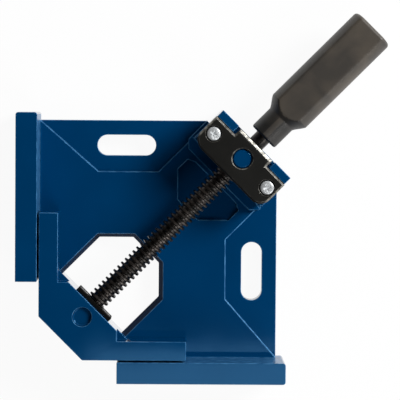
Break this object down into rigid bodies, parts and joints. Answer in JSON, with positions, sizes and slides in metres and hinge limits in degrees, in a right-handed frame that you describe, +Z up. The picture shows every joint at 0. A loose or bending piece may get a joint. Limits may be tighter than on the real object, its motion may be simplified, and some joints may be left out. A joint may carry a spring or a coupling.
{
  "type": "corner clamp",
  "caption": "Right-angle corner clamp: slotted die-cast base with fences, swinging L-shaped jaw and a long screw with a moulded handle in a swivelling nut.",
  "frame": {"origin": "the corner of the work, where the planes of the fence faces meet, at bench level", "axes": "+X and +Y along the fences, +Z up from the bench; the screw lies along the diagonal between +X and +Y"},
  "size_m": [0.2067, 0.2067, 0.0429],
  "materials": {
    "blue_casting": "gloss blue paint on die-cast aluminium",
    "black_plate": "satin black coating on cast metal",
    "zinc_screw": "bright zinc-plated steel",
    "black_steel": "black oxide on steel, oiled",
    "dark_handle": "moulded dark grey nylon"
  },
  "bodies": {
    "frame": {"base_casting": "blue_casting", "cover_plate": "black_plate", "cover_screws": "zinc_screw"},
    "nut": {"swivel_nut": "blue_casting"},
    "carriage": {"jaw_pivot": "blue_casting"},
    "spindle": {"spindle": "black_steel", "handle_grip": "dark_handle", "retaining_clip": "black_steel"},
    "jaw": {"swing_jaw": "blue_casting", "thrust_plate": "black_plate", "thrust_screws": "black_steel"}
  },
  "joints": [
    {"name": "nut_swing", "type": "hinge", "parent": "frame", "child": "nut", "pos_m": [0.11349, 0.11349, 0.027], "axis": [0, 0, 1], "range_deg": [-0.5, 0.5]},
    {"name": "jaw_travel", "type": "slide", "parent": "nut", "child": "carriage", "axis": [0.7071, 0.7071, 0], "range_m": [0, 0.093]},
    {"name": "spindle_turn", "type": "hinge", "parent": "carriage", "child": "spindle", "pos_m": [0.02524, 0.02524, 0.027], "axis": [0.7071, 0.7071, 0], "range_deg": [0, 11160]},
    {"name": "jaw_swivel", "type": "hinge", "parent": "carriage", "child": "jaw", "pos_m": [0.02524, 0.02524, 0.027], "axis": [0, 0, 1], "range_deg": [-0.5, 0.5]}
  ],
  "couplings": [
    {"joint": "spindle_turn", "follows": "jaw_travel", "rad_per_m": 2094.4}
  ]
}
